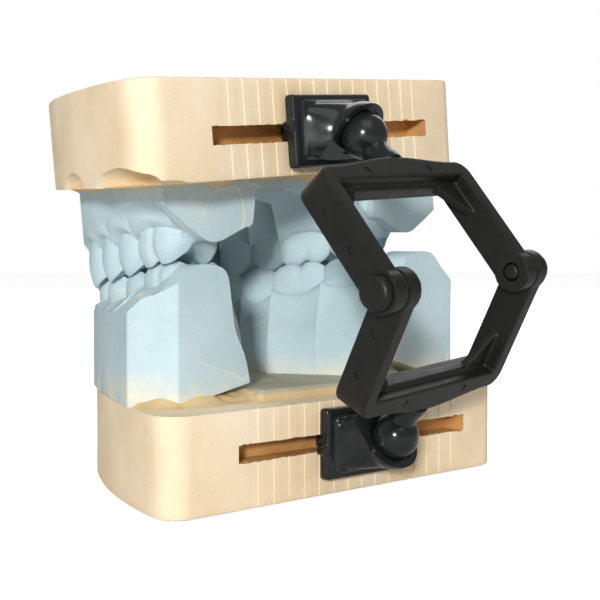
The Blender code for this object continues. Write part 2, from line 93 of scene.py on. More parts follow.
# Trimmed outlines in mm, anticlockwise from the left heel: the lower in world axes, the upper in its base's
LOWER_TRIM = [(-30.4, -22.2), (37.4, -22.2), (36.6, -16.0), (31.0, -4.5), (22.0, 10.5), (13.0, 20.5)]
LOWER_TRIM += [(3.0, 27.0), (-7.0, 27.0), (-17.5, 19.5), (-23.7, 9.1), (-35.8, -16.0)]
UPPER_TRIM = [(-29.8, 9.3), (37.6, 5.4), (37.8, 11.0), (31.5, 22.0), (23.5, 37.5), (15.0, 50.0)]
UPPER_TRIM += [(5.7, 57.0), (-3.3, 57.0), (-11.7, 51.5), (-18.9, 42.5), (-28.3, 19.2)]


# ---------------------------------------------------------------- camera
CAMERA_PLACE = (-0.15096, -0.17408, 0.03885)
CAMERA_TURN = (math.radians(90 - 1.876), 0.0, math.radians(-44.08))
LENS = 74.12
SENSOR_WIDTH = 36.0


def new_object(name, data):
    """Object in the scene's own collection."""
    item = bpy.data.objects.new(name, data)
    bpy.context.scene.collection.objects.link(item)
    return item


def make_camera():
    data = bpy.data.cameras.new("photo_camera")
    data.lens = LENS
    data.sensor_width = SENSOR_WIDTH
    item = new_object("photo_camera", data)
    item.location = CAMERA_PLACE
    item.rotation_euler = CAMERA_TURN
    bpy.context.scene.camera = item


# ---------------------------------------------------------------- materials
def new_material(name):
    material = bpy.data.materials.new(name)
    material.use_nodes = True
    tree = material.node_tree
    return material, tree, tree.nodes["Principled BSDF"]


def node(tree, kind, **inputs):
    item = tree.nodes.new(kind)
    for key, value in inputs.items():
        if key in item.inputs.keys():
            item.inputs[key].default_value = value
        else:
            setattr(item, key, value)
    return item


def noise_at(tree, coordinates, scale, detail=4.0, roughness=0.55):
    item = node(tree, "ShaderNodeTexNoise", Scale=scale, Detail=detail, Roughness=roughness)
    tree.links.new(coordinates, item.inputs["Vector"])
    return item.outputs["Fac"]


def ramp_of(tree, value, stops):
    item = tree.nodes.new("ShaderNodeValToRGB")
    ramp = item.color_ramp
    while len(ramp.elements) < len(stops):
        ramp.elements.new(0.5)
    for element, (place, colour) in zip(ramp.elements, stops):
        element.position = place
        element.color = (*colour, 1.0)
    tree.links.new(value, item.inputs["Fac"])
    return item.outputs["Color"]


def mix(tree, factor, first, second, mode="MIX"):
    item = tree.nodes.new("ShaderNodeMix")
    item.data_type = "RGBA"
    item.blend_type = mode
    sockets = (item.inputs["Factor"], item.inputs[6], item.inputs[7])
    for socket, value in zip(sockets, (factor, first, second)):
        if hasattr(value, "links"):
            tree.links.new(value, socket)
        elif isinstance(value, tuple):
            socket.default_value = (*value, 1.0)
        else:
            socket.default_value = value
    return item.outputs[2]


def bump(tree, shader, height, strength, distance):
    item = node(tree, "ShaderNodeBump", Strength=strength, Distance=distance)
    tree.links.new(height, item.inputs["Height"])
    tree.links.new(item.outputs["Normal"], shader.inputs["Normal"])


def grey(value):
    return (value,) * 3


FOOT_SMEAR = (0.0215, 0.0160)        # heights in m over which smears grow towards the lower cast's foot
STONE_ROUGHNESS = (0.64, 0.80)
STONE_GRAIN = 2600.0
GRAIN_HEIGHT = 0.12 * MM
PLASTIC_GRAIN_HEIGHT = 0.05 * MM


def smeared(tree, place, colour, smear):
    """Thin wandering lines of another stone, and smears of it round the lower cast's foot."""
    wander = noise_at(tree, place, 52.0, 2.0, 0.5)
    line = ramp_of(tree, wander, [(0.484, grey(0.0)), (0.494, grey(0.8)), (0.503, grey(0.0))])
    region = noise_at(tree, place, 41.0, 2.0, 0.5)
    where = ramp_of(tree, region, [(0.50, grey(0.0)), (0.60, grey(1.0))])
    colour = mix(tree, mix(tree, 1.0, line, where, "MULTIPLY"), colour, smear)
    height = tree.nodes.new("ShaderNodeSeparateXYZ")
    tree.links.new(place, height.inputs["Vector"])
    foot = tree.nodes.new("ShaderNodeMapRange")
    for key, value in zip(("From Min", "From Max"), FOOT_SMEAR):
        foot.inputs[key].default_value = value
    tree.links.new(height.outputs["Z"], foot.inputs["Value"])
    ragged = noise_at(tree, place, 120.0, 3.0, 0.6)
    spread = ramp_of(tree, ragged, [(0.40, grey(0.0)), (0.66, grey(0.9))])
    low = mix(tree, 1.0, spread, foot.outputs["Result"], "MULTIPLY")
    return mix(tree, low, colour, smear)


def stone_material(name, light, middle, dark, stain=None, smear=None):
    """Cast dental stone: cloudy colour, fine grain, and patches or thin smears of another stone."""
    material, tree, shader = new_material(name)
    place = tree.nodes.new("ShaderNodeTexCoord").outputs["Object"]
    cloud = noise_at(tree, place, 55.0, 5.0, 0.6)
    colour = ramp_of(tree, cloud, [(0.3, dark), (0.5, middle), (0.7, light)])
    if stain:
        patch = noise_at(tree, place, 38.0, 3.0, 0.6)
        mask = ramp_of(tree, patch, [(0.62, grey(0.0)), (0.76, grey(0.75))])
        colour = mix(tree, mask, colour, stain)
    if smear:
        colour = smeared(tree, place, colour, smear)
    grain = noise_at(tree, place, STONE_GRAIN, 6.0, 0.7)
    speck = ramp_of(tree, grain, [(0.3, grey(0.93)), (0.6, grey(1.0))])
    colour = mix(tree, 1.0, colour, speck, "MULTIPLY")
    tree.links.new(colour, shader.inputs["Base Color"])
    rough = ramp_of(tree, cloud, [(0.3, grey(STONE_ROUGHNESS[0])), (0.7, grey(STONE_ROUGHNESS[1]))])
    tree.links.new(rough, shader.inputs["Roughness"])
    bump(tree, shader, grain, 0.25, GRAIN_HEIGHT)
    return material


def plastic_material(name, colour, low, high, grain_scale, strength, shine):
    """Moulded black plastic with a faint texture and uneven gloss."""
    material, tree, shader = new_material(name)
    place = tree.nodes.new("ShaderNodeTexCoord").outputs["Object"]
    smudge = noise_at(tree, place, 240.0, 4.0, 0.6)
    rough = ramp_of(tree, smudge, [(0.35, grey(low)), (0.7, grey(high))])
    tree.links.new(rough, shader.inputs["Roughness"])
    tint = ramp_of(tree, smudge, [(0.3, colour), (0.8, tuple(c * 1.6 for c in colour))])
    tree.links.new(tint, shader.inputs["Base Color"])
    grain = noise_at(tree, place, grain_scale, 3.0, 0.5)
    bump(tree, shader, grain, strength, PLASTIC_GRAIN_HEIGHT)
    shader.inputs["Specular IOR Level"].default_value = shine
    return material


# ---------------------------------------------------------------- mesh helpers
def add_piece(name, mesh, materials, body, node_name, smooth_angle):
    """Visible piece that rides a body; it replaces a CAD node and takes a colour slot where given."""
    item = new_object(name, mesh)
    for material in materials:
        item.data.materials.append(material)
    item.data.shade_smooth()
    item.data.set_sharp_from_angle(angle=math.radians(smooth_angle))
    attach(item, body)
    if node_name:
        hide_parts(node_name)
    return item


def finish_mesh(work, name):
    bmesh.ops.recalc_face_normals(work, faces=work.faces)
    mesh = bpy.data.meshes.new(name)
    work.to_mesh(mesh)
    work.free()
    return mesh


def apply_modifiers(item):
    """Replace an object's mesh by its evaluated mesh."""
    graph = bpy.context.evaluated_depsgraph_get()
    graph.update()
    mesh = bpy.data.meshes.new_from_object(item.evaluated_get(graph))
    item.modifiers.clear()
    item.data = mesh


def clamp(value):
    return min(max(value, 0.0), 1.0)


def ease(share):
    """Share from 0 to 1 with a slow start and a slow end."""
    return share * share * (3 - 2 * share)


def smooth_ramp(table, value):
    """Reading of a short table with eased steps between its points."""
    if value <= table[0][0]:
        return table[0][1]
    for (x0, y0), (x1, y1) in zip(table, table[1:]):
        if value <= x1:
            return y0 + (y1 - y0) * ease((value - x0) / (x1 - x0))
    return table[-1][1]


def skin(work, rings):
    """Closed loft: faces between neighbouring rings of vertices, and one over each end."""
    count = len(rings[0])
    for first, second in zip(rings, rings[1:]):
        for i in range(count):
            j = (i + 1) % count
            work.faces.new((first[i], first[j], second[j], second[i]))
    work.faces.new(rings[0])
    work.faces.new(rings[-1])


def wobble(x, y, z, scale, seed):
    """Smooth noise between -1 and 1 at a place in m."""
    return noise.noise(Vector((x * scale + seed, y * scale + seed * 0.7, z * scale - seed)))


# ---------------------------------------------------------------- bases
GROOVE_COUNT = 15
GROOVE_PITCH = 3.4 * MM
# Profile across one groove in the rear face, as (place, depth) in mm
GROOVE = [(-0.95, 0.0), (-0.86, 0.16), (0.62, 0.16), (0.68, 0.34), (0.80, 0.34), (0.86, 0.0)]
REAR_CORNER = 4.0 * MM
SIDE_START = 0.07                    # share of the depth at which the curved side begins
SIDE_POWERS = (1.3, 0.62)
SLOT_CHIPPING = 0.55 * MM
SLOT_GRIT = 0.12 * MM
SLOT_SHADE_MARGIN = 0.9 * MM               # painted shade of the slot shows this far above and below the slot


def base_outline():
    """Outline with x along the rear face and y forward from it, anticlockwise from the first groove."""
    points = []
    centre = -GROOVE_CENTRE
    side = []
    for step in range(41):
        along = SIDE_START + (1 - SIDE_START) * math.sin(step / 40 * math.pi / 2)
        width = BASE_HALF_WIDTH * (1 - along ** SIDE_POWERS[0]) ** SIDE_POWERS[1]
        side.append((width, BASE_DEPTH * along))
    corner_x = side[0][0] - REAR_CORNER
    corner = []
    for step in range(9):
        angle = math.radians(-90 + 10 * step)
        corner.append((corner_x + REAR_CORNER * math.cos(angle), REAR_CORNER * (1 + math.sin(angle))))
    for number in range(GROOVE_COUNT):
        middle = (number - GROOVE_COUNT // 2) * GROOVE_PITCH
        points += [(middle + offset * MM, depth * MM) for offset, depth in GROOVE]
    right = corner + side
    points += [(x + centre, y) for x, y in right]
    points += [(centre - x, y) for x, y in reversed(right[:-1])]
    return points


def inset(outline, amount):
    """Outline moved inwards by an amount, point by point."""
    result = []
    for index, (x, y) in enumerate(outline):
        run = Vector(outline[(index + 1) % len(outline)]) - Vector(outline[index - 1])
        normal = Vector((-run.y, run.x)).normalized()
        result.append((x + normal.x * amount, y + normal.y * amount))
    return result


def chipped_box(low, high, seed):
    """Slot cutter whose long edges wander, as chipped stone does."""
    work = bmesh.new()
    columns = 110
    rings = []
    for index in range(columns + 1):
        x = low[0] + (high[0] - low[0]) * (index / columns)
        ring = []
        for y in (low[1], low[1] + 2.4 * MM, high[1]):
            mouth = 1.0 if y < 1.0 * MM else 0.25
            for z, way in ((low[2], -1), (high[2], 1)):
                chip = max(0.0, wobble(x, y, z, 900, seed + way)) * SLOT_CHIPPING * mouth
                chip += SLOT_GRIT * wobble(x, y, z, 2500, seed) * mouth
                ring.append(Vector((x, y, z + way * chip)))
        rings.append([work.verts.new(ring[order]) for order in (0, 2, 4, 5, 3, 1)])
    skin(work, rings)
    return finish_mesh(work, "slot_cutter")


def rough_ball(centre, size, turn, seed):
    """Uneven ellipsoid that bites a shell-shaped chip out of an edge; turn is about Z, in degrees."""
    work = bmesh.new()
    bmesh.ops.create_icosphere(work, subdivisions=5, radius=1.0)
    spin = Matrix.Rotation(math.radians(turn), 3, "Z")
    for vert in work.verts:
        bend = 1 + 0.05 * wobble(*vert.co, 2.2, seed) + 0.012 * wobble(*vert.co, 9.0, seed)
        scaled = Vector((vert.co.x * size[0], vert.co.y * size[1], vert.co.z * size[2])) * bend
        vert.co = (spin @ scaled + Vector(centre)) * MM
    return finish_mesh(work, "chip_cutter")


def cut(item, meshes, operation="DIFFERENCE"):
    """Cuts an object with helper solids, or joins them to it, and keeps the result as its mesh."""
    helpers = []
    for mesh in meshes:
        helper = new_object("cutter", mesh)
        step = item.modifiers.new("cut", "BOOLEAN")
        step.operation = operation
        step.solver = "MANIFOLD"
        step.object = helper
        helpers.append(helper)
    bpy.context.view_layer.update()
    apply_modifiers(item)
    for helper in helpers:
        bpy.data.objects.remove(helper, do_unlink=True)


def make_base(half, place, inward, chips, seed):
    """Moulded stone base, with painted shade inside its slot; inward is +1 when the block rises from its
    outer face, -1 when it hangs.
    """
    outline = base_outline()
    tall = BASE_HEIGHT / MM
    # Height and inset in mm; both edges are softened
    levels = [(0.0, 0.45), (0.12, 0.16), (0.45, 0.0)]
    levels += [(0.45 + (tall - 0.9) * step / 14, 0.0) for step in range(1, 14)]
    levels += [(tall - 0.3, 0.0), (tall - 0.05, 0.12), (tall, 0.35)]
    work = bmesh.new()
    rings = []
    for height, amount in levels:
        ring = []
        for x, y in inset(outline, amount * MM):
            sag = 0.05 * MM * wobble(x, y, height * MM, 130, seed)
            ring.append(work.verts.new((x + sag, y - sag * 0.5 if y > MM else y, inward * height * MM)))
        rings.append(ring)
    skin(work, rings)
    item = new_object("base", finish_mesh(work, "base"))
    middle, height = SLOT_MIDDLE[0], inward * SLOT_MIDDLE[1]
    low = (middle - SLOT_SIZE[0] / 2, -MM, height - SLOT_SIZE[2] / 2)
    high = (middle + SLOT_SIZE[0] / 2, SLOT_SIZE[1], height + SLOT_SIZE[2] / 2)
    cutters = [chipped_box(low, high, seed)]
    cutters += [rough_ball(*chip, seed + number) for number, chip in enumerate(chips)]
    cut(item, cutters)
    mesh = release(item)
    # Faces inside the slot and at its chipped edges take a darker orange: painted shade of the recess, not
    # another stone
    for face in mesh.polygons:
        x, y, z = face.center
        beside = low[0] - MM < x < high[0] + MM and low[2] - SLOT_SHADE_MARGIN < z < high[2] + SLOT_SHADE_MARGIN
        face.material_index = 1 if beside and 0.45 * MM < y < 5 * MM else 0
    mesh.transform(place)
    return add_piece("stone_base_" + half, mesh, [YELLOW, PAINTED_SLOT_SHADE], half + "_model", half + "_base", 28)


# ---------------------------------------------------------------- casts
# Each tooth from the midline back: width, thickness, crown length, kind, push outwards, turn, lift, in mm
LOWER_TEETH = [(5.6, 5.6, 6.6, "incisor", 0.0, 0.15, 0.0), (6.2, 5.8, 6.6, "incisor", 0.25, -0.2, -0.2),
               (7.2, 7.0, 7.0, "canine", 0.5, 0.3, 0.3), (7.4, 7.6, 6.6, "premolar", 0.1, -0.3, 0.0),
               (7.4, 8.2, 6.4, "premolar", -0.1, 0.3, 0.1), (11.6, 10.2, 6.0, "molar", 0.3, 0.1, 0.2),
               (10.2, 10.0, 5.6, "molar", 0.2, -0.1, 0.1)]
UPPER_TEETH = [(8.6, 6.0, 8.2, "incisor", 0.1, 0.2, -0.3), (7.0, 5.8, 7.6, "incisor", -0.5, -0.35, 0.1),
               (8.0, 7.4, 8.6, "canine", 0.5, 0.25, -0.7), (7.2, 8.6, 7.8, "premolar", 0.1, 0.3, -0.5),
               (7.2, 8.8, 7.3, "premolar", -0.2, -0.3, -0.3), (11.0, 10.6, 6.6, "molar", 0.4, 0.15, 0.0),
               (9.6, 10.2, 5.4, "molar", 0.2, -0.2, 0.4)]
LEFT_TEETH = 6                       # both casts end behind the first molar on the left
# Samples between one section point and the next
SPANS = [1, 1, 2, 2, 3, 2, 1, 3, 3, 3, 3, 2, 3, 3, 3, 2, 2, 2, 2, 2, 2]
HEEL_BLEND = 1.6 * MM                # distance over which the last tooth runs out into the heel
RIGHT_HEEL_LIFT = 2.3                # mm that both casts' right heels lie higher
# Share of a full chewing surface that each kind of tooth has
CHEW = {"incisor": 0.0, "canine": 0.15, "premolar": 0.7, "molar": 1.0}
# Height of the teeth's edges in mm at the arch origin, and what they lose per mm forwards
LOWER_CROWN = (40.9, 0.122)
UPPER_CROWN = (40.3, 0.142)
# Heights of the stone's shelf and of the gum line, as (place forwards of the arch origin, height) in mm
LOWER_SHELF = [(-8, 36.6), (8, 36.2), (11, 34.8), (18, 29.2), (30, 28.2), (60, 26.8)]
LOWER_GUM = [(-3, 37.6), (8, 37.6), (13, 36.9), (22, 33.8), (35, 30.6), (56, 29.6)]
# Heels, as (out from the arch line, height) in mm
LOWER_HEEL = [(7.0, 33.2), (4.7, 35.2), (2.9, 37.1), (1.7, 37.9), (0.5, 38.1), (-0.7, 38.15), (-1.9, 38.1)]
LOWER_HEEL += [(-3.1, 37.95), (-4.2, 37.6), (-5.1, 37.0), (-5.7, 36.0), (-6.0, 34.6), (-6.3, 32.4)]
LOWER_HEEL += [(-6.7, 29.6), (-7.2, 27.2), (-8.0, 25.4), (-9.0, 23.6), (-9.8, 21.0), (-10.3, 18.5)]
UPPER_HEEL = [(6.6, 48.0), (4.6, 46.9), (2.6, 45.6), (1.0, 44.5), (0.0, 43.8), (-1.0, 43.2), (-2.0, 42.6)]
UPPER_HEEL += [(-2.9, 42.1), (-3.8, 41.8), (-4.7, 41.65), (-5.6, 41.7), (-6.6, 41.9), (-7.8, 42.4)]
UPPER_HEEL += [(-9.2, 43.0), (-10.6, 43.7), (-12.0, 44.3), (-13.5, 44.9), (-14.1, 50.4)]


def arch_samples(arch, count=700):
    """Points along one half-arch from the midline back to the heel, with distance from the midline."""
    samples = []
    walked = 0.0
    for step in range(count + 1):
        angle = math.pi / 2 * (1 - step / count)
        x = -arch[0] * max(math.cos(angle), 0.0) ** (2 / ARCH_POWER)
        y = arch[1] * max(math.sin(angle), 0.0) ** (2 / ARCH_POWER)
        point = Vector((x, y))
        if samples:
            walked += (point - samples[-1][1]).length
        samples.append((walked, point))
    last = samples[-1][1]
    for step in range(1, 41):
        further = ARCH_OVERRUN * step / 40
        samples.append((walked + further, last - Vector((0.0, further))))
    return samples


def arch_place(samples, distance):
    """Point and outward direction at a distance from the midline."""
    last = len(samples) - 1
    high = bisect.bisect_right(samples, distance, 1, last, key=lambda sample: sample[0])
    start, end = samples[high - 1], samples[high]
    share = clamp((distance - start[0]) / (end[0] - start[0]))
    run = samples[min(high + 12, last)][1] - samples[max(high - 13, 0)][1]
    run.normalize()
    return start[1].lerp(end[1], share), Vector((run.y, -run.x))


# Curves across each kind of tooth, as sums of (mm, power) of the distance from its middle
EDGE_DROP = {"incisor": ((0.10, 1), (0.85, 6)), "canine": ((1.6, 1.25), (0.5, 5)),
             "premolar": ((2.0, 1.5), (0.4, 6)), "molar": ((0.15, 0), (1.7, 4))}
INNER_PREMOLAR = ((1.7, 1.5), (0.4, 6))
BULGE = {"incisor": ((0.35, 2), (1.0, 7)), "canine": ((1.4, 2), (0.8, 7)),
         "premolar": ((1.4, 2.2), (1.0, 8)), "molar": ((0.6, 2), (1.5, 6))}


def curve(terms, across):
    return sum(amount * abs(across) ** power for amount, power in terms)


def molar_groove(kind, across, depth, width):
    """Dent between a molar's two cusps."""
    return depth * math.exp(-((across - 0.05) / width) ** 2) if kind == "molar" else 0.0


def crown_edge(kind, across, inner):
    """Height lost at this place across a tooth, below its highest point, in mm."""
    terms = INNER_PREMOLAR if inner and kind == "premolar" else EDGE_DROP[kind]
    return curve(terms, across) + molar_groove(kind, across, 0.85, 0.16)


def bulge_back(kind, across):
    """How far the outer surface curves back from the crown's fullest point, in mm."""
    return curve(BULGE[kind], across) + molar_groove(kind, across, 0.4, 0.13)


def tooth_list(teeth, length):
    """Stations along a half-arch: (distance, tooth or None, place across it)."""
    rows = []
    start = 0.0
    sliver = 0.02 * MM
    for tooth in teeth:
        width = tooth[0] * MM
        steps = max(16, int(width / (0.32 * MM)))
        for step in range(steps + 1):
            across = -0.45 * math.cos(step / steps * math.pi) + 0.55 * (2 * step / steps - 1)
            place = start + width * (across + 1) / 2
            rows.append((min(max(place, start + sliver), start + width - sliver), tooth, across))
        start += width
    rows[0] = (0.0, rows[0][1], rows[0][2])
    steps = max(12, int((length - start) / (0.5 * MM)))
    for step in range(1, steps + 1):
        rows.append((start + (length - start) * step / steps, None, step / steps))
    return rows


def spline_rows(points, counts):
    """Catmull-Rom through control points; counts gives the samples in each span, and 1 keeps a corner."""
    result = [points[0]]
    last = len(points) - 1
    for index in range(last):
        p1, p2 = points[index], points[index + 1]
        corner_before = index == 0 or counts[index - 1] <= 1
        corner_after = index + 1 == last or counts[min(index + 1, last - 1)] <= 1
        p0 = p1 * 2 - p2 if corner_before else points[index - 1]
        p3 = p2 * 2 - p1 if corner_after else points[index + 2]
        steps = max(counts[index], 1)
        for step in range(1, steps):
            t = step / steps
            result.append(0.5 * ((2 * p1) + (p2 - p0) * t + (2 * p0 - 5 * p1 + 4 * p2 - p3) * t * t
                                 + (3 * p1 - p0 - 3 * p2 + p3) * t ** 3))
        result.append(p2)
    return result


def tooth_shape(tooth, across, depth, crown_line, way):
    """What both jaws' sections share; way is 1 where the tooth stands up, and -1 where it hangs."""
    _, thick, length, kind, push, turn, lift = tooth
    crown = crown_line[0] - crown_line[1] * depth + lift
    edge = crown - way * crown_edge(kind, across, False)
    out = push + turn * across - bulge_back(kind, across)
    return thick, length, kind, abs(across), CHEW[kind], out, crown, edge


# The plain numbers in the two sections below are mm
def lower_station(depth, tooth, across, floor):
    """Cross-section of the lower cast as (out from the arch line, height), from outside to inside."""
    shelf = smooth_ramp(LOWER_SHELF, depth)
    rows = [(TRIM_OVERRUN, floor), (TRIM_OVERRUN, shelf - 0.2)]
    if tooth is None:
        rows += [(9.5, min(shelf + 0.2, 33.0))] + LOWER_HEEL
        return rows
    thick, length, kind, size, chew, out, crown, edge = tooth_shape(tooth, across, depth, LOWER_CROWN, 1)
    gum_line = smooth_ramp(LOWER_GUM, depth)
    papilla = 1.6 * size ** 2.4 * (0.35 if kind == "molar" else 0.8)
    gum = min(max(crown - length, min(gum_line, crown - 1.8)) + papilla, edge - 0.8)
    shelf = min(shelf, gum - 0.8)
    root = 0.5 * math.cos(across * math.pi / 2)
    rise = gum - shelf
    rows += [(8.0, shelf + 0.1), (4.4, shelf + 0.35 * rise), (1.9 + root * 0.5, shelf + 0.68 * rise),
             (0.8 + root + out * 0.2, gum - 0.12 * rise), (0.42 + out * 0.8, gum), (0.02 + out, gum + 0.2)]
    span = edge - gum
    rows += [(0.22 + out, gum + 0.35 * span), (-0.05 + out * 1.05, gum + 0.68 * span),
             (-0.75 - 0.35 * chew + out, edge - 0.15 * (1 - chew)),
             (-1.3 - 0.35 * chew + out * 0.6, edge - 0.1 - 0.55 * chew)]
    inner_edge = crown - 0.35 - crown_edge(kind, across, True) * (0.9 if chew > 0.5 else 1.0)
    pit = crown - 1.7 * chew - 0.5 * crown_edge(kind, across, False)
    if chew > 0.5:
        rows += [(-thick * 0.5, pit), (-thick * 0.72, pit + 0.75),
                 (-thick + 1.5, inner_edge), (-thick + 0.35 + 0.8 * size ** 3, inner_edge - 1.6)]
    else:
        rows += [(-thick * 0.38, edge - 1.9), (-thick * 0.55, edge - 3.4),
                 (-thick * 0.78, edge - 5.0), (-thick + 0.3 + 0.7 * size ** 3, edge - 5.8)]
    inner_gum = crown - length - 0.6 + 1.6 * size ** 2.4
    rows += [(-thick + 0.15 + 0.9 * size ** 3, inner_gum + 0.5), (-thick - 0.35, inner_gum),
             (-thick - 0.9, inner_gum - 1.2), (-thick - 1.9, inner_gum - 4.5),
             (-thick - 3.4, inner_gum - 9.0), (-thick - 4.2, floor)]
    return rows


def upper_station(depth, tooth, across, roof):
    """Cross-section of the upper cast as (out from the arch line, height), from its roof to the palate."""
    rows = [(TRIM_OVERRUN, roof), (TRIM_OVERRUN, 48.7)]
    if tooth is None:
        rows += [(9.5, 48.5)] + UPPER_HEEL
        return rows
    thick, length, kind, size, chew, out, crown, edge = tooth_shape(tooth, across, depth, UPPER_CROWN, -1)
    gum = crown + length - (1.2 if kind == "molar" else 2.0) * size ** 2.4
    root = 0.95 * math.cos(across * math.pi / 2)
    top = max(48.4, gum + 2.6)
    rows += [(8.0, top + 0.1), (4.2 + root * 0.3, top - 0.5), (1.7 + root * 0.9, gum + 0.55 * (top - gum)),
             (0.8 + root + out * 0.2, gum + 0.9), (0.45 + out * 0.8, gum), (0.02 + out, gum - 0.25)]
    span = gum - edge
    rows += [(0.3 + out, gum - 0.38 * span), (0.05 + out * 1.05, gum - 0.70 * span),
             (-0.7 - 0.35 * chew + out, edge), (-1.3 - 0.35 * chew + out * 0.6, edge + 0.1 + 0.6 * chew)]
    pit = crown + 1.9 * chew + 0.5 * crown_edge(kind, across, False)
    inner_edge = crown - 0.1 + crown_edge(kind, across, True)
    if chew > 0.5:
        rows += [(-thick * 0.48, pit), (-thick * 0.70, pit - 0.8),
                 (-thick + 1.6, inner_edge), (-thick + 0.4 + 0.8 * size ** 3, inner_edge + 1.7)]
    else:
        rows += [(-thick * 0.36, edge + 2.0), (-thick * 0.55, edge + 3.6),
                 (-thick * 0.8, edge + 5.0), (-thick + 0.3 + 0.7 * size ** 3, edge + 5.9)]
    inner_gum = crown + length - 1.3 * size ** 2.4
    rows += [(-thick + 0.15 + 0.9 * size ** 3, inner_gum - 0.5), (-thick - 0.35, inner_gum),
             (-thick - 1.6, inner_gum + 1.6), (-thick - 4.2, inner_gum + 5.0),
             (-thick - 6.5, inner_gum + 7.0)]
    return rows


def round_corners(points, radius, steps=4):
    """Polygon with each corner replaced by an arc."""
    result = []
    count = len(points)
    for index in range(count):
        corner = Vector(points[index])
        back = (Vector(points[index - 1]) - corner).normalized()
        ahead = (Vector(points[(index + 1) % count]) - corner).normalized()
        half = back.angle(ahead) / 2
        reach = radius / math.tan(half)
        centre = corner + (back + ahead).normalized() * radius / math.sin(half)
        start, end = corner + back * reach - centre, corner + ahead * reach - centre
        sweep = start.angle_signed(end)
        for step in range(steps + 1):
            result.append(centre + Matrix.Rotation(-sweep * step / steps, 2) @ start)
    return result


def trim_prism(outline, low, high, place):
    """Block that a stone trimmer leaves, from an outline in mm."""
    mesh = prism_mesh([point * MM for point in round_corners(outline, TRIM_CORNER)], low, high)
    mesh.transform(place)
    return mesh


def cast_half(side, samples, teeth, upper, heel_lift):
    """Closed rough half of a cast; side is -1 for the left."""
    turn = Matrix.Rotation(ARCH_YAW, 2)
    rim = UP_ORIGIN - UP_Z * (BASE_HEIGHT - SET_IN)
    floor = (BASE_HEIGHT - SET_IN) / MM
    station = upper_station if upper else lower_station

    def spot(x, y):
        return turn @ Vector((-side * x, y)) + ARCH_ORIGIN

    def roof_at(x, y):
        place = spot(x, y)
        return rim.z - (UP_Z.x * (place.x - rim.x) + UP_Z.y * (place.y - rim.y)) / UP_Z.z

    rows = tooth_list(teeth, samples[-1][0])
    last_distance, last_tooth, last_across = [row for row in rows if row[1] is not None][-1]
    last_depth = arch_place(samples, last_distance)[0].y / MM
    last_tooth_rows = [Vector(pair) for pair in station(last_depth, last_tooth, last_across, floor)]
    overlap = 0.05 * MM              # past the midline, so that the halves join
    work = bmesh.new()
    columns = []
    for distance, tooth, across in rows:
        point, outward = arch_place(samples, distance)
        if distance == 0.0:
            outward = Vector((0.0, 1.0))
        controls = [Vector(pair) for pair in station(point.y / MM, tooth, across, floor)]
        if tooth is None:
            for heel_point in controls[3:]:
                heel_point.y += heel_lift
            share = ease(min((distance - last_distance) / HEEL_BLEND, 1.0))
            controls = [a.lerp(b, share) for a, b in zip(last_tooth_rows, controls)]
        line = []
        for order, value in enumerate(spline_rows(controls, SPANS[:len(controls) - 1])):
            place = point + outward * value.x * MM
            x = overlap if distance == 0.0 else min(place.x, overlap)
            height = roof_at(x, place.y) if upper and order == 0 else value.y * MM
            where = spot(x, place.y)
            grit = 0.0
            if order:
                grit = 0.05 * MM * wobble(where.x, where.y, height, 420, 3.0)
                grit += 0.16 * MM * wobble(where.x, where.y, height, 120, 5.0)
            line.append(Vector((x, place.y + grit, height + grit)))
        if upper:
            end_y = line[-1].y
            line.append(Vector((overlap, end_y, line[-1].z + 1.2 * MM)))
            line.append(Vector((overlap, line[0].y if distance == 0.0 else end_y, roof_at(0.0, end_y))))
        columns.append([work.verts.new((*spot(v.x, v.y), v.z)) for v in line])
    skin(work, columns)
    return finish_mesh(work, "cast_half")


def make_cast(half, arch, teeth):
    """Rough cast lofted along its arch, then trimmed to the flat facets of a stone trimmer."""
    upper = half == "upper"
    samples = arch_samples(arch)
    left = cast_half(-1, samples, teeth[:LEFT_TEETH], upper, 0.0)
    right = cast_half(1, samples, teeth, upper, RIGHT_HEEL_LIFT)
    item = join_shapes([left, right])
    near = BASE_HEIGHT - 0.2 * MM
    if upper:
        prism = trim_prism(UPPER_TRIM, -TRIM_REACH, -near, UPPER)
    else:
        prism = trim_prism(LOWER_TRIM, near, TRIM_REACH, Matrix.Identity(4))
    cut(item, [prism], "INTERSECT")
    return add_piece("stone_cast_" + half, release(item), [BLUE], half + "_model", half + "_cast", 40)


# ---------------------------------------------------------------- mounting plaster
PLASTER_GRID = 0.6                   # mm between points of the plaster's height field
PLASTER_START = (-40.5, 0.8)         # mm, in the base's own axes
PLASTER_CELLS = (133, 103)
PLASTER_SUNK = 0.12                  # mm below the base's face where there is no plaster
POOL_DEPTH = 2.0                     # mm


def inside(point, polygon):
    """Even-odd test."""
    px, py = point
    crossing = False
    for (x0, y0), (x1, y1) in zip(polygon, polygon[1:] + polygon[:1]):
        if (y0 > py) != (y1 > py) and px < (x1 - x0) * (py - y0) / (y1 - y0) + x0:
            crossing = not crossing
    return crossing


def edge_distance(point, polygon):
    """Distance from a polygon's edge, positive outside."""
    best = 1e9
    spot = Vector(point)
    for start, end in zip(polygon, polygon[1:] + polygon[:1]):
        a, b = Vector(start), Vector(end)
        run = b - a
        share = clamp((spot - a).dot(run) / run.length_squared)
        best = min(best, (spot - a - run * share).length)
    return -best if inside(point, polygon) else best


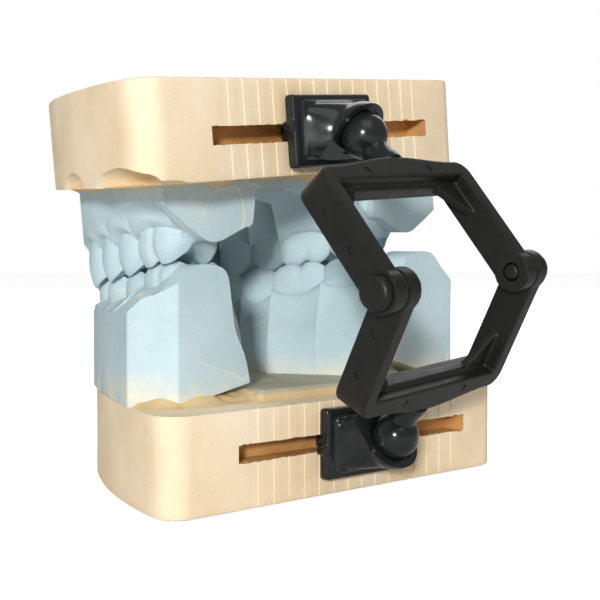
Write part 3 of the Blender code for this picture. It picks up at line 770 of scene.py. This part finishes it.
def make_plaster(half, place, inward, trim, pool, height, materials, seed):
    """Plaster run out round a cast's foot, as a height field; pool is the outline of a raised floor."""
    edge = [(x / MM, y / MM) for x, y in base_outline() if y > 0.5 * MM][::3]
    work = bmesh.new()
    top, bottom = {}, {}
    for i in range(PLASTER_CELLS[0] + 1):
        for j in range(PLASTER_CELLS[1] + 1):
            x, y = PLASTER_START[0] + i * PLASTER_GRID, PLASTER_START[1] + j * PLASTER_GRID
            border = -edge_distance((x, y), edge)
            if border < 0.5:
                continue
            spot = (x * MM, y * MM)
            around = edge_distance((x, y), trim)
            uneven = 0.55 + 0.9 * wobble(*spot, 0.0, 140, seed) + 0.25 * wobble(*spot, 0.0, 500, seed)
            width = 3.4 + 1.6 * wobble(*spot, 0.0, 90, seed + 4)
            fall = clamp(1 - max(around, 0.0) / width)
            level = height * max(uneven, 0.12) * fall ** 1.7 * clamp((border - 0.5) / 1.5) - PLASTER_SUNK
            if pool:
                within = ease(clamp((0.9 - edge_distance((x, y), pool)) / 1.8))
                ripple = 0.03 * wobble(*spot, 0.0, 200, seed)
                level = max(level, -PLASTER_SUNK + POOL_DEPTH * within + ripple)
            base = inward * (BASE_HEIGHT - 0.3 * MM)
            top[i, j] = work.verts.new(place @ Vector((*spot, inward * (BASE_HEIGHT + level * MM))))
            bottom[i, j] = work.verts.new(place @ Vector((*spot, base)))
    corners = ((1, 0), (0, 1), (1, 1))
    cells = [(i, j) for i, j in top if all((i + di, j + dj) in top for di, dj in corners)]
    used = set(cells)
    for i, j in cells:
        ring = [(i, j), (i + 1, j), (i + 1, j + 1), (i, j + 1)]
        work.faces.new([top[k] for k in ring])
        work.faces.new([bottom[k] for k in reversed(ring)])
        neighbours = ((i, j - 1), (i + 1, j), (i, j + 1), (i - 1, j))
        for a, b, beside in zip(ring, ring[1:] + ring[:1], neighbours):
            if beside not in used:
                work.faces.new((top[b], top[a], bottom[a], bottom[b]))
    loose = [vert for vert in work.verts if not vert.link_faces]
    bmesh.ops.delete(work, geom=loose, context="VERTS")
    to_base = place.inverted()
    for face in work.faces:
        centre = to_base @ face.calc_center_median() / MM
        face.material_index = 1 if pool and edge_distance((centre.x, centre.y), pool) < -0.2 else 0
    mesh = finish_mesh(work, "plaster")
    return add_piece("mounting_plaster_" + half, mesh, materials, half + "_model", None, 50)


# ---------------------------------------------------------------- stage
STUDIO_LIGHT = 0.26
FLOOR_HALF = 3.0
FLOOR_DROP = 0.5 * MM
FLOOR_COLOUR = (0.8, 0.8, 0.8, 1.0)
FLOOR_GLOW = 0.75                    # seen by the camera only, so it doesn't light the object from below
WHITE = (1.0, 1.0, 1.0, 1.0)
LIGHT_TARGET = Vector((0.0, 0.0, 0.035))
# Name, azimuth, elevation, distance in m, size in m and power in W
LIGHTS = [("key", -50, 11, 0.9, 0.09, 6.8), ("fill", -25, 50, 1.2, 0.8, 2.6)]
LIGHTS += [("front_fill", 128, 35, 1.2, 1.0, 5.0)]


def show_camera(tree, others, camera, output):
    """Gives the camera one shader, and all other rays another."""
    paths = tree.nodes.new("ShaderNodeLightPath")
    pick = tree.nodes.new("ShaderNodeMixShader")
    tree.links.new(paths.outputs["Is Camera Ray"], pick.inputs[0])
    tree.links.new(others.outputs[0], pick.inputs[1])
    tree.links.new(camera.outputs[0], pick.inputs[2])
    tree.links.new(pick.outputs[0], tree.nodes[output].inputs["Surface"])


def make_floor():
    mesh = bpy.data.meshes.new("floor")
    signs = ((-1, -1), (1, -1), (1, 1), (-1, 1))
    mesh.from_pydata([(x * FLOOR_HALF, y * FLOOR_HALF, -FLOOR_DROP) for x, y in signs], [], [range(4)])
    floor = new_object("floor", mesh)
    material, tree, shader = new_material("pale_floor")
    shader.inputs["Base Color"].default_value = FLOOR_COLOUR
    shader.inputs["Roughness"].default_value = 0.9
    glow = node(tree, "ShaderNodeEmission", Strength=FLOOR_GLOW)
    both = tree.nodes.new("ShaderNodeAddShader")
    tree.links.new(shader.outputs[0], both.inputs[0])
    tree.links.new(glow.outputs[0], both.inputs[1])
    show_camera(tree, shader, both, "Material Output")
    floor.data.materials.append(material)


def make_world():
    world = bpy.data.worlds.new("studio")
    world.use_nodes = True
    tree = world.node_tree
    studio = tree.nodes["Background"]
    studio.inputs["Color"].default_value = WHITE
    studio.inputs["Strength"].default_value = STUDIO_LIGHT
    show_camera(tree, studio, node(tree, "ShaderNodeBackground", Color=WHITE), "World Output")
    bpy.context.scene.world = world
    bpy.context.scene.view_settings.view_transform = "Standard"


def make_light(name, azimuth, elevation, distance, size, power):
    """Square soft light that looks at the object; azimuth and elevation are in degrees."""
    data = bpy.data.lights.new(name, "AREA")
    data.energy = power
    data.size = size
    item = new_object(name, data)
    a, e = math.radians(azimuth), math.radians(elevation)
    back = Vector((math.sin(a) * math.cos(e), -math.cos(a) * math.cos(e), math.sin(e)))
    item.location = LIGHT_TARGET + back * distance
    item.rotation_euler = (-back).to_track_quat("-Z", "Y").to_euler()


# ---------------------------------------------------------------- plastic mechanism
SOFTEN_VOXEL = 0.2 * MM


def join_shapes(meshes):
    """Union of closed meshes, in order."""
    item = new_object("joined", meshes[0])
    cut(item, meshes[1:], "UNION")
    return item


def soften(item, passes):
    """Rounds the edges of a union as a mould does."""
    remesh = item.modifiers.new("remesh", "REMESH")
    remesh.mode = "VOXEL"
    remesh.voxel_size = SOFTEN_VOXEL
    smooth = item.modifiers.new("smooth", "SMOOTH")
    smooth.factor = 0.5
    smooth.iterations = passes
    bpy.context.view_layer.update()
    apply_modifiers(item)


def release(item):
    """Mesh of a helper object, which is removed."""
    mesh = item.data
    bpy.data.objects.remove(item)
    mesh.materials.clear()
    return mesh


def box_mesh(low, high, radius=0.0):
    work = bmesh.new()
    middle = [(a + b) / 2 for a, b in zip(low, high)]
    size = [b - a for a, b in zip(low, high)]
    bmesh.ops.create_cube(work, size=1.0, matrix=Matrix.Translation(middle) @ Matrix.Diagonal((*size, 1.0)))
    if radius:
        bmesh.ops.bevel(work, geom=list(work.edges), offset=radius, segments=3, profile=0.5, affect="EDGES")
    return finish_mesh(work, "box")


def rod_mesh(radius, start, end, sides=64):
    work = bmesh.new()
    start, end = Vector(start), Vector(end)
    run = end - start
    place = Matrix.Translation((start + end) / 2) @ run.to_track_quat("Z", "Y").to_matrix().to_4x4()
    bmesh.ops.create_cone(work, cap_ends=True, segments=sides, radius1=radius, radius2=radius,
                          depth=run.length, matrix=place)
    return finish_mesh(work, "rod")


def ball_mesh(radius):
    work = bmesh.new()
    bmesh.ops.create_uvsphere(work, u_segments=64, v_segments=40, radius=radius)
    return finish_mesh(work, "ball")


def prism_mesh(outline, low, high):
    work = bmesh.new()
    skin(work, [[work.verts.new((x, y, z)) for x, y in outline] for z in (low, high)])
    return finish_mesh(work, "prism")


def turned_mesh(profile, sides=72):
    """Solid of revolution about Z from (radius, height) pairs whose ends lie on the axis."""
    work = bmesh.new()
    rings = []
    angles = [2 * math.pi * k / sides for k in range(sides)]
    for radius, height in profile:
        if radius == 0.0:
            rings.append([work.verts.new((0.0, 0.0, height))])
            continue
        rings.append([work.verts.new((radius * math.cos(a), radius * math.sin(a), height)) for a in angles])
    for first, second in zip(rings, rings[1:]):
        for k in range(sides):
            n = (k + 1) % sides
            if len(first) == 1:
                work.faces.new((first[0], second[k], second[n]))
            elif len(second) == 1:
                work.faces.new((first[k], second[0], first[n]))
            else:
                work.faces.new((first[k], second[k], second[n], first[n]))
    return finish_mesh(work, "turned")


def round_profile(points, radius, steps):
    """Turned profile with its inner corners rounded."""
    result = [Vector(points[0])]
    for index in range(1, len(points) - 1):
        corner = Vector(points[index])
        back, ahead = Vector(points[index - 1]) - corner, Vector(points[index + 1]) - corner
        reach = min(radius, back.length * 0.45, ahead.length * 0.45)
        start, end = corner + back.normalized() * reach, corner + ahead.normalized() * reach
        for step in range(steps + 1):
            t = step / steps
            result.append(start * (1 - t) ** 2 + corner * 2 * t * (1 - t) + end * t * t)
    result.append(Vector(points[-1]))
    return [(p.x, p.y) for p in result]


def axes(x, y, origin):
    """Placement whose X and Y run along two directions at right angles."""
    z = x.cross(y).normalized()
    place = Matrix((x, y, z)).transposed().to_4x4()
    place.translation = origin
    return place


# U frame: X runs along the hinge and Y out to the ball
ARM_HALF_SPAN = 19.1 * MM
ARM_SHIFT = 1.6 * MM                 # off centre, so that the two frames' arms lie beside each other
FRAME_LEFT = ARM_SHIFT - ARM_HALF_SPAN
FRAME_RIGHT = ARM_SHIFT + ARM_HALF_SPAN
ARM_THICKNESS = 2.8 * MM
STRIP_WIDTH = 5.9 * MM
BAR_INNER = REACH - 11.1 * MM
BAR_OUTER_END = REACH - 8.3 * MM
BAR_OUTER_MIDDLE = REACH - 6.9 * MM
FRAME_CORNER = 2.6 * MM
KNUCKLE_RADIUS = 3.3 * MM
RIB_HALF = 11.5 * MM
RIB_RISE = 0.8 * MM
RIB_HALF_THICKNESS = 0.95 * MM
GUSSET_LEG = 6.4 * MM
GUSSET_HALF_THICKNESS = 0.65 * MM
PIN_RADIUS = 1.3 * MM
PIN_CLEARANCE = 0.25 * MM
# Ejector marks: places along an arm and each side of the bar's middle
ARM_MARKS = (7.5 * MM, 14.6 * MM)
BAR_MARK = 8.0 * MM


def frame_corner(centre_x, start):
    """Quarter arc round an outer corner, from a start angle in degrees."""
    angles = [math.radians(start + 9 * step) for step in range(11)]
    centre_y = BAR_OUTER_END - FRAME_CORNER
    return [(centre_x + FRAME_CORNER * math.cos(a), centre_y + FRAME_CORNER * math.sin(a)) for a in angles]


def frame_outline():
    inner_left, inner_right = FRAME_LEFT + ARM_THICKNESS, FRAME_RIGHT - ARM_THICKNESS
    points = [(FRAME_LEFT, 0.0), (inner_left, 0.0), (inner_left, BAR_INNER)]
    points += [(inner_right, BAR_INNER), (inner_right, 0.0), (FRAME_RIGHT, 0.0)]
    points += frame_corner(FRAME_RIGHT - FRAME_CORNER, 0)
    for step in range(1, 24):
        across = step / 24
        bow = math.sin(across * math.pi) ** 2
        x = FRAME_RIGHT - FRAME_CORNER - across * 2 * (ARM_HALF_SPAN - FRAME_CORNER)
        points.append((x, BAR_OUTER_END + bow * (BAR_OUTER_MIDDLE - BAR_OUTER_END)))
    return points + frame_corner(FRAME_LEFT + FRAME_CORNER, 90)


def make_frame(half, place):
    """Moulded U frame with crossbar rib, corner webs, hinge barrels and ejector marks."""
    reach = STRIP_WIDTH / 2
    shapes = [prism_mesh(frame_outline(), -reach, reach)]
    for start in (FRAME_LEFT, FRAME_RIGHT - ARM_THICKNESS):
        shapes.append(rod_mesh(KNUCKLE_RADIUS, (start, 0.0, 0.0), (start + ARM_THICKNESS, 0.0, 0.0)))
    shapes.append(box_mesh((ARM_SHIFT - RIB_HALF, BAR_INNER - RIB_RISE, -RIB_HALF_THICKNESS),
                           (ARM_SHIFT + RIB_HALF, BAR_INNER + MM, RIB_HALF_THICKNESS)))
    for corner, way in ((FRAME_LEFT + ARM_THICKNESS, 1), (FRAME_RIGHT - ARM_THICKNESS, -1)):
        buried, leg = corner - way * MM, corner + way * GUSSET_LEG
        foot = BAR_INNER - GUSSET_LEG
        triangle = [(buried, BAR_INNER + MM), (buried, foot), (corner, foot), (leg, BAR_INNER),
                    (leg, BAR_INNER + MM)]
        shapes.append(prism_mesh(triangle[::way], -GUSSET_HALF_THICKNESS, GUSSET_HALF_THICKNESS))
    item = join_shapes(shapes)
    soften(item, 4)
    ends = ((FRAME_LEFT - MM, 0.0, 0.0), (FRAME_RIGHT + MM, 0.0, 0.0))
    cutters = [rod_mesh(PIN_RADIUS + PIN_CLEARANCE, *ends)]
    for side, way in ((FRAME_LEFT, 1.0), (FRAME_RIGHT, -1.0)):
        for along in ARM_MARKS:
            ends = ((side - way * MM, along, 0.0), (side + way * 0.14 * MM, along, 0.0))
            cutters.append(rod_mesh(0.75 * MM, *ends, 32))
    for way in (-1.0, 1.0):
        for across in (ARM_SHIFT - BAR_MARK, ARM_SHIFT + BAR_MARK):
            y = BAR_INNER + 1.5 * MM
            ends = ((across, y, way * (reach + MM)), (across, y, way * (reach - 0.12 * MM)))
            cutters.append(rod_mesh(0.7 * MM, *ends, 32))
    cut(item, cutters)
    mesh = release(item)
    mesh.transform(place)
    add_piece("moulded_frame_" + half, mesh, [MATT], half + "_frame_body", half + "_frame", 32)


NECK_RADIUS = 2.3 * MM
NECK_FLARE = 0.8 * MM


def make_stud(half, place):
    """Neck between a frame's bar and its ball, which flares towards the bar."""
    foot = BAR_OUTER_MIDDLE + 0.05 * MM
    top = REACH - BALL_RADIUS + 0.75 * MM
    run = top - foot
    wide = NECK_RADIUS + NECK_FLARE
    profile = [(0.0, top), (NECK_RADIUS, top)]
    for step in range(1, 15):
        across = step / 15
        flare = NECK_FLARE * (1 - math.cos(across * math.pi / 2))
        profile.append((NECK_RADIUS + flare, top - run * 0.8 * across))
    profile += [(wide, foot + 0.35 * MM), (wide + 0.05 * MM, foot + 0.15 * MM), (wide, foot), (0.0, foot)]
    mesh = turned_mesh(profile)
    mesh.transform(place @ Matrix.Rotation(math.radians(-90), 4, "X"))
    add_piece("neck_" + half, mesh, [GLOSS], half + "_frame_body", half + "_ball_stud", 40)


def make_ball(half, place):
    """Ball with a fine parting line round it and a small flat where its neck meets it."""
    profile = []
    for step in range(49):
        angle = math.pi * step / 48
        seam = 0.03 * MM * math.exp(-((angle - math.pi / 2) / 0.03) ** 2)
        radius = BALL_RADIUS + seam - 0.02 * MM
        profile.append((radius * math.sin(angle), max(radius * math.cos(angle), -0.995 * radius)))
    profile[0] = (0.0, profile[0][1])
    profile[-1] = (0.0, profile[-1][1])
    mesh = turned_mesh(profile, 80)
    mesh.transform(place @ Matrix.Rotation(math.radians(90), 4, "X"))
    add_piece("ball_" + half, mesh, [GLOSS], half + "_ball_body", half + "_ball", 60)


CAP_RISE = 1.8 * MM
CAP_RADIUS = 2.7 * MM


def make_pin(side, way, place):
    """Hinge pin with a low domed cap that has a stepped rim."""
    outer = FRAME_RIGHT
    inner = outer - ARM_THICKNESS - 2 * ARM_SHIFT - 0.3 * MM
    end = outer + CAP_RISE
    # Cap from its middle out to its rim, as (radius, drop) in mm
    dome = [(0.0, 0.0), (1.5, 0.05), (2.3, 0.22), (2.62, 0.5)]
    profile = [(radius * MM, end - drop * MM) for radius, drop in dome]
    cap = outer + 0.1 * MM
    profile += [(CAP_RADIUS, end - 0.9 * MM), (CAP_RADIUS, cap), (PIN_RADIUS, cap)]
    profile += [(PIN_RADIUS, inner + 0.3 * MM), (PIN_RADIUS - 0.3 * MM, inner), (0.0, inner)]
    mesh = turned_mesh(round_profile(profile, 0.2 * MM, 3))
    mesh.transform(place @ Matrix.Rotation(math.radians(90 * way), 4, "Y"))
    add_piece("hinge_cap_" + side, mesh, [MATT], "lower_frame_body", side + "_hinge_pin", 40)


PLATE_SIZE = (20.0 * MM, 2.0 * MM, 11.8 * MM)
PANEL_RISE = 0.55 * MM
LIP_ANGLE = math.radians(35.0)       # tilt of the cup's open face
LIP_HEIGHT = -1.2 * MM               # that face from the ball's centre
LIP_STEP = (4.35 * MM, 0.35 * MM)    # radius and depth of the step inside the lip
CUP_SIZE = (5.8 * MM, 5.1 * MM, 5.5 * MM)
CUP_HOLLOW = 4.1 * MM
HOOD_START = (7.6 * MM, 4.4 * MM)    # half width and half height where the hood leaves the plate
TONGUE = (7.0 * MM, 1.05 * MM, 3.6 * MM)       # half width, half height and depth in the slot
NUBS = (4.7, -0.6), (-10.0, -2.2)    # sprue ends on the cup and on the plate's left edge, in mm


def hood_mesh(back, middle, plate_offset, sign):
    """Loft from the plate's nearly square panel to the cup's oval."""
    work = bmesh.new()
    rings = []
    for step in range(23):
        share = step / 22
        y = (back + 0.6 * MM) * (1 - share) + 0.6 * MM * share
        blend = ease(share)
        width = HOOD_START[0] * (1 - blend) + 0.985 * CUP_SIZE[0] * blend
        tall = HOOD_START[1] * (1 - blend) + 0.985 * CUP_SIZE[2] * blend
        power = 5.0 * (1 - blend) + 2.0 * blend
        drop = (middle - 0.2 * MM * sign) * (1 - blend)
        slide = (plate_offset - 0.6 * MM) * (1 - blend)
        ring = []
        for k in range(64):
            angle = 2 * math.pi * k / 64
            c, s = math.cos(angle), math.sin(angle)
            x = slide + width * math.copysign(abs(c) ** (2 / power), c)
            z = drop + tall * math.copysign(abs(s) ** (2 / power), s)
            ring.append(work.verts.new((x, y, z)))
        rings.append(ring)
    skin(work, rings)
    return finish_mesh(work, "hood")


def make_socket(half, place, rear, plate_offset, sign):
    """Plate with a raised panel that runs out into the ball's cup; sign is -1 where it opens downwards."""
    middle = -1.25 * MM * sign
    wide, _, tall = [value / 2 for value in PLATE_SIZE]
    front = rear - 0.2 * MM
    back = rear - 0.3 * MM - PLATE_SIZE[1]
    left, right = plate_offset - wide, plate_offset + wide
    shapes = [box_mesh((left, back, middle - tall), (right, front, middle + tall), 0.55 * MM)]
    low, high = sorted((middle - sign * 4.9 * MM, middle + sign * 4.4 * MM))
    shapes.append(box_mesh((left + 1.9 * MM, back - PANEL_RISE, low),
                           (right - 1.6 * MM, back + MM, high), 0.5 * MM))
    shapes.append(hood_mesh(back, middle, plate_offset, sign))
    cup = ball_mesh(1.0)
    cup.transform(Matrix.Diagonal((*CUP_SIZE, 1.0)))
    shapes.append(cup)
    shapes.append(box_mesh((plate_offset - TONGUE[0], front - MM, middle - TONGUE[1]),
                           (plate_offset + TONGUE[0], rear + TONGUE[2], middle + TONGUE[1])))
    spans = ((-1.2 * MM, 0.6 * MM), (back + 0.3 * MM, front))
    for (x, z), (start, end), shift in zip(NUBS, spans, (0.0, plate_offset)):
        shapes.append(box_mesh((shift + (x - 0.5) * MM, start, sign * (z - 0.7) * MM),
                               (shift + (x + 0.6) * MM, end, sign * (z + 0.7) * MM)))
    item = join_shapes(shapes)
    soften(item, 5)
    opening = Vector((0.0, -math.cos(LIP_ANGLE), sign * math.sin(LIP_ANGLE)))
    lip = rod_mesh(11 * MM, opening * LIP_HEIGHT, opening * (LIP_HEIGHT + 12 * MM))
    step = rod_mesh(LIP_STEP[0], opening * (LIP_HEIGHT - LIP_STEP[1]), opening * (LIP_HEIGHT + 2 * MM))
    cut(item, [lip, step, ball_mesh(CUP_HOLLOW)])
    mesh = release(item)
    mesh.transform(place)
    add_piece("socket_" + half, mesh, [GLOSS], half + "_socket", half + "_socket_plate", 35)


# ---------------------------------------------------------------- build
make_camera()
YELLOW = stone_material("yellow_stone", (0.90, 0.76, 0.56), (0.85, 0.69, 0.47), (0.78, 0.60, 0.38),
                        stain=(0.74, 0.50, 0.28))
# Darker, warmer orange for the inside of the slot: painted shade of the recess
PAINTED_SLOT_SHADE = stone_material("slot_painted_shade", (0.72, 0.42, 0.15), (0.58, 0.31, 0.10), (0.40, 0.20, 0.06))
PLASTER = stone_material("mounting_plaster", (0.80, 0.62, 0.34), (0.72, 0.52, 0.26), (0.58, 0.42, 0.22))
FLOOR_STONE = stone_material("smooth_plaster", (0.60, 0.56, 0.43), (0.52, 0.48, 0.36), (0.42, 0.38, 0.27))
BLUE = stone_material("blue_stone", (0.55, 0.67, 0.70), (0.48, 0.61, 0.65), (0.40, 0.54, 0.58),
                      smear=(0.86, 0.74, 0.52))
MATT = plastic_material("matt_black", (0.0075, 0.0078, 0.0068), 0.38, 0.5, 3000.0, 0.15, 0.3)
GLOSS = plastic_material("gloss_black", (0.009, 0.0115, 0.011), 0.13, 0.22, 1500.0, 0.03, 0.4)

# Chips along the upper base's lower left edge: centre and half sizes in mm, and their turn
UPPER_CHIPS = [((-40.2, 10.0, -18.2), (5.8, 14.5, 5.6), 0.0),
               ((-33.2, 29.0, -18.2), (6.0, 9.0, 5.6), -25.0),
               ((-25.0, 47.5, -18.2), (5.0, 7.0, 4.6), -32.0),
               ((-37.2, -0.8, -17.6), (7.0, 4.4, 2.8), 0.0)]
make_base("lower", LOWER, 1.0, [], 1.0)
make_base("upper", UPPER, -1.0, UPPER_CHIPS, 7.0)
make_cast("lower", LOWER_ARCH, LOWER_TEETH)
make_cast("upper", UPPER_ARCH, UPPER_TEETH)
SHIFT = LOWER.translation / MM
LOWER_FOOT = [(x - SHIFT.x, y - SHIFT.y) for x, y in LOWER_TRIM]
POOL = [(-16, -25.5), (21, -25.5), (17, -8), (8, 8), (-2, 12), (-9, 4)]
POOL = [(x - SHIFT.x, y - SHIFT.y) for x, y in POOL]
make_plaster("lower", LOWER, 1.0, LOWER_FOOT, POOL, 2.3, [PLASTER, FLOOR_STONE], 3.0)
make_plaster("upper", UPPER, -1.0, UPPER_TRIM, None, 1.2, [PLASTER], 11.0)

LOWER_WAY = (LOWER_BALL - HINGE).normalized()
UPPER_WAY = (UPPER_BALL - HINGE).normalized()
HINGE_ALONG = HINGE_X if HINGE_X.x > 0 else -HINGE_X
HINGE_UP = HINGE_ALONG.cross(Vector((0.0, -1.0, 0.0))).normalized()
HALVES = (("lower", HINGE_ALONG, LOWER_WAY, LOWER_BALL), ("upper", -HINGE_ALONG, UPPER_WAY, UPPER_BALL))
for half, along, way, ball in HALVES:
    make_frame(half, axes(along, way, HINGE))
for half, along, way, ball in HALVES:
    make_stud(half, axes(along, way, HINGE))
for side, way in (("left", -1), ("right", 1)):
    make_pin(side, way, axes(HINGE_ALONG, HINGE_UP, HINGE))
for half, along, way, ball in HALVES:
    make_ball(half, axes(along, way, ball))
make_socket("lower", Matrix.Translation(LOWER_BALL), REAR_Y - LOWER_BALL.y, 0.5 * MM, 1.0)
UPPER_SOCKET = UPPER.copy()
UPPER_SOCKET.translation = UPPER_BALL
make_socket("upper", UPPER_SOCKET, -(UPPER.inverted() @ UPPER_BALL).y, -0.7 * MM, -1.0)

make_floor()
make_world()
for light in LIGHTS:
    make_light(*light)
